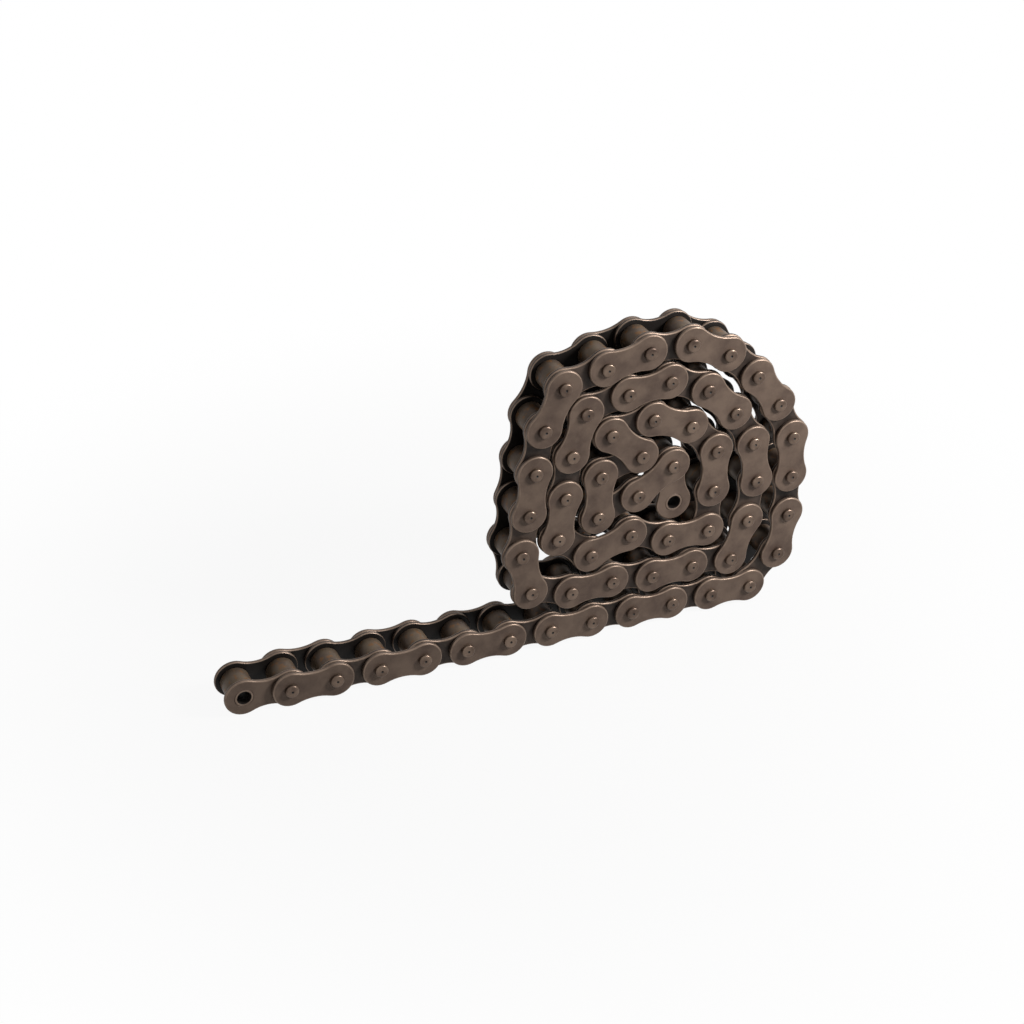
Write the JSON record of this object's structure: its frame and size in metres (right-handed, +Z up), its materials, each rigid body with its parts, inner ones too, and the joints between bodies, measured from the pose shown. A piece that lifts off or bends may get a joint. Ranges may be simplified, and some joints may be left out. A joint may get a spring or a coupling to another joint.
{
  "type": "roller conveyor chain",
  "caption": "Simplex roller chain lying on its edge as a loose coil with a straight free tail, with waisted plates, riveted pins, bushes and turning rollers.",
  "frame": {"origin": "bottom centre of the coil as it stands on its edge", "axes": "+X along the straight run on the ground, away from the free end; +Y along the pins; +Z up"},
  "size_m": [0.2604, 0.0228, 0.1392],
  "materials": {
    "inner_plate_steel": "dark oiled steel, satin",
    "outer_plate_steel": "dark oiled steel, satin",
    "pin_steel": "dark polished steel",
    "roller_steel": "oiled steel with a brassy film"
  },
  "bodies": {
    "coil": {"coil_inner_plates": "inner_plate_steel", "coil_bushes": "roller_steel", "coil_rollers": "roller_steel", "coil_outer_plates": "outer_plate_steel", "coil_pins": "pin_steel"},
    "outer_link_09": {"outer_link_09": "outer_plate_steel"},
    "inner_link_09": {"inner_link_09": "inner_plate_steel"},
    "outer_link_08": {"outer_link_08": "outer_plate_steel"},
    "inner_link_08": {"inner_link_08": "inner_plate_steel"},
    "outer_link_07": {"outer_link_07": "outer_plate_steel"},
    "inner_link_07": {"inner_link_07": "inner_plate_steel"},
    "outer_link_06": {"outer_link_06": "outer_plate_steel"},
    "inner_link_06": {"inner_link_06": "inner_plate_steel"},
    "outer_link_05": {"outer_link_05": "outer_plate_steel"},
    "inner_link_05": {"inner_link_05": "inner_plate_steel"},
    "outer_link_04": {"outer_link_04": "outer_plate_steel"},
    "inner_link_04": {"inner_link_04": "inner_plate_steel"},
    "outer_link_03": {"outer_link_03": "outer_plate_steel"},
    "inner_link_03": {"inner_link_03": "inner_plate_steel"},
    "outer_link_02": {"outer_link_02": "outer_plate_steel"},
    "inner_link_02": {"inner_link_02": "inner_plate_steel"},
    "outer_link_01": {"outer_link_01": "outer_plate_steel"},
    "inner_link_01": {"inner_link_01": "inner_plate_steel"},
    "roller_01": {"roller_01": "roller_steel"},
    "roller_02": {"roller_02": "roller_steel"},
    "roller_03": {"roller_03": "roller_steel"},
    "roller_04": {"roller_04": "roller_steel"},
    "roller_05": {"roller_05": "roller_steel"},
    "roller_06": {"roller_06": "roller_steel"},
    "roller_07": {"roller_07": "roller_steel"},
    "roller_08": {"roller_08": "roller_steel"},
    "roller_09": {"roller_09": "roller_steel"},
    "roller_10": {"roller_10": "roller_steel"},
    "roller_11": {"roller_11": "roller_steel"},
    "roller_12": {"roller_12": "roller_steel"},
    "roller_13": {"roller_13": "roller_steel"},
    "roller_14": {"roller_14": "roller_steel"},
    "roller_15": {"roller_15": "roller_steel"},
    "roller_16": {"roller_16": "roller_steel"},
    "roller_17": {"roller_17": "roller_steel"},
    "roller_18": {"roller_18": "roller_steel"}
  },
  "joints": [
    {"name": "link_hinge_18", "type": "hinge", "parent": "coil", "child": "outer_link_09", "pos_m": [0.10042, 0, 0.11121], "axis": [0, 1, 0], "range_deg": [-60, 0]},
    {"name": "link_hinge_17", "type": "hinge", "parent": "outer_link_09", "child": "inner_link_09", "pos_m": [0.11215, 0, 0.0962], "axis": [0, -1, 0], "range_deg": [0, 60]},
    {"name": "link_hinge_16", "type": "hinge", "parent": "inner_link_09", "child": "outer_link_08", "pos_m": [0.1205, 0, 0.07907], "axis": [0, 1, 0], "range_deg": [-60, 0]},
    {"name": "link_hinge_15", "type": "hinge", "parent": "outer_link_08", "child": "inner_link_08", "pos_m": [0.12183, 0, 0.06007], "axis": [0, 1, 0], "range_deg": [-60, 0]},
    {"name": "link_hinge_14", "type": "hinge", "parent": "inner_link_08", "child": "outer_link_07", "pos_m": [0.12216, 0, 0.04102], "axis": [0, -1, 0], "range_deg": [0, 60]},
    {"name": "link_hinge_13", "type": "hinge", "parent": "outer_link_07", "child": "inner_link_07", "pos_m": [0.11918, 0, 0.02221], "axis": [0, -1, 0], "range_deg": [0, 60]},
    {"name": "link_hinge_12", "type": "hinge", "parent": "inner_link_07", "child": "outer_link_06", "pos_m": [0.10644, 0, 0.00805], "axis": [0, 1, 0], "range_deg": [-75, 0]},
    {"name": "link_hinge_11", "type": "hinge", "parent": "outer_link_06", "child": "inner_link_06", "pos_m": [0.08739, 0, 0.00805], "axis": [0, -1, 0], "range_deg": [0, 75]},
    {"name": "link_hinge_10", "type": "hinge", "parent": "inner_link_06", "child": "outer_link_05", "pos_m": [0.06834, 0, 0.00805], "axis": [0, 1, 0], "range_deg": [-75, 0]},
    {"name": "link_hinge_09", "type": "hinge", "parent": "outer_link_05", "child": "inner_link_05", "pos_m": [0.04929, 0, 0.00805], "axis": [0, -1, 0], "range_deg": [0, 75]},
    {"name": "link_hinge_08", "type": "hinge", "parent": "inner_link_05", "child": "outer_link_04", "pos_m": [0.03024, 0, 0.00805], "axis": [0, 1, 0], "range_deg": [-90, 4]},
    {"name": "link_hinge_07", "type": "hinge", "parent": "outer_link_04", "child": "inner_link_04", "pos_m": [0.01119, 0, 0.00805], "axis": [0, 1, 0], "range_deg": [-90, 17]},
    {"name": "link_hinge_06", "type": "hinge", "parent": "inner_link_04", "child": "outer_link_03", "pos_m": [-0.00786, 0, 0.00805], "axis": [0, -1, 0], "range_deg": [-65, 90]},
    {"name": "link_hinge_05", "type": "hinge", "parent": "outer_link_03", "child": "inner_link_03", "pos_m": [-0.02691, 0, 0.00805], "axis": [0, -1, 0], "range_deg": [-90, 90]},
    {"name": "link_hinge_04", "type": "hinge", "parent": "inner_link_03", "child": "outer_link_02", "pos_m": [-0.04596, 0, 0.00805], "axis": [0, 1, 0], "range_deg": [-118, 111]},
    {"name": "link_hinge_03", "type": "hinge", "parent": "outer_link_02", "child": "inner_link_02", "pos_m": [-0.06501, 0, 0.00805], "axis": [0, -1, 0], "range_deg": [-118, 118]},
    {"name": "link_hinge_02", "type": "hinge", "parent": "inner_link_02", "child": "outer_link_01", "pos_m": [-0.08406, 0, 0.00805], "axis": [0, 1, 0], "range_deg": [-118, 118]},
    {"name": "link_hinge_01", "type": "hinge", "parent": "outer_link_01", "child": "inner_link_01", "pos_m": [-0.10311, 0, 0.00805], "axis": [0, -1, 0], "range_deg": [-118, 118]},
    {"name": "roller_spin_01", "type": "hinge", "parent": "inner_link_01", "child": "roller_01", "pos_m": [-0.12216, 0, 0.00805], "axis": [0, 1, 0], "continuous": true},
    {"name": "roller_spin_02", "type": "hinge", "parent": "inner_link_01", "child": "roller_02", "pos_m": [-0.10311, 0, 0.00805], "axis": [0, 1, 0], "continuous": true},
    {"name": "roller_spin_03", "type": "hinge", "parent": "inner_link_02", "child": "roller_03", "pos_m": [-0.08406, 0, 0.00805], "axis": [0, 1, 0], "continuous": true},
    {"name": "roller_spin_04", "type": "hinge", "parent": "inner_link_02", "child": "roller_04", "pos_m": [-0.06501, 0, 0.00805], "axis": [0, 1, 0], "continuous": true},
    {"name": "roller_spin_05", "type": "hinge", "parent": "inner_link_03", "child": "roller_05", "pos_m": [-0.04596, 0, 0.00805], "axis": [0, 1, 0], "continuous": true},
    {"name": "roller_spin_06", "type": "hinge", "parent": "inner_link_03", "child": "roller_06", "pos_m": [-0.02691, 0, 0.00805], "axis": [0, 1, 0], "continuous": true},
    {"name": "roller_spin_07", "type": "hinge", "parent": "inner_link_04", "child": "roller_07", "pos_m": [-0.00786, 0, 0.00805], "axis": [0, 1, 0], "continuous": true},
    {"name": "roller_spin_08", "type": "hinge", "parent": "inner_link_04", "child": "roller_08", "pos_m": [0.01119, 0, 0.00805], "axis": [0, 1, 0], "continuous": true},
    {"name": "roller_spin_09", "type": "hinge", "parent": "inner_link_05", "child": "roller_09", "pos_m": [0.03024, 0, 0.00805], "axis": [0, 1, 0], "continuous": true},
    {"name": "roller_spin_10", "type": "hinge", "parent": "inner_link_05", "child": "roller_10", "pos_m": [0.04929, 0, 0.00805], "axis": [0, 1, 0], "continuous": true},
    {"name": "roller_spin_11", "type": "hinge", "parent": "inner_link_06", "child": "roller_11", "pos_m": [0.06834, 0, 0.00805], "axis": [0, 1, 0], "continuous": true},
    {"name": "roller_spin_12", "type": "hinge", "parent": "inner_link_06", "child": "roller_12", "pos_m": [0.08739, 0, 0.00805], "axis": [0, 1, 0], "continuous": true},
    {"name": "roller_spin_13", "type": "hinge", "parent": "inner_link_07", "child": "roller_13", "pos_m": [0.10644, 0, 0.00805], "axis": [0, 1, 0], "continuous": true},
    {"name": "roller_spin_14", "type": "hinge", "parent": "inner_link_07", "child": "roller_14", "pos_m": [0.11918, 0, 0.02221], "axis": [0, 1, 0], "continuous": true},
    {"name": "roller_spin_15", "type": "hinge", "parent": "inner_link_08", "child": "roller_15", "pos_m": [0.12216, 0, 0.04102], "axis": [0, 1, 0], "continuous": true},
    {"name": "roller_spin_16", "type": "hinge", "parent": "inner_link_08", "child": "roller_16", "pos_m": [0.12183, 0, 0.06007], "axis": [0, 1, 0], "continuous": true},
    {"name": "roller_spin_17", "type": "hinge", "parent": "inner_link_09", "child": "roller_17", "pos_m": [0.1205, 0, 0.07907], "axis": [0, 1, 0], "continuous": true},
    {"name": "roller_spin_18", "type": "hinge", "parent": "inner_link_09", "child": "roller_18", "pos_m": [0.11215, 0, 0.0962], "axis": [0, 1, 0], "continuous": true}
  ]
}
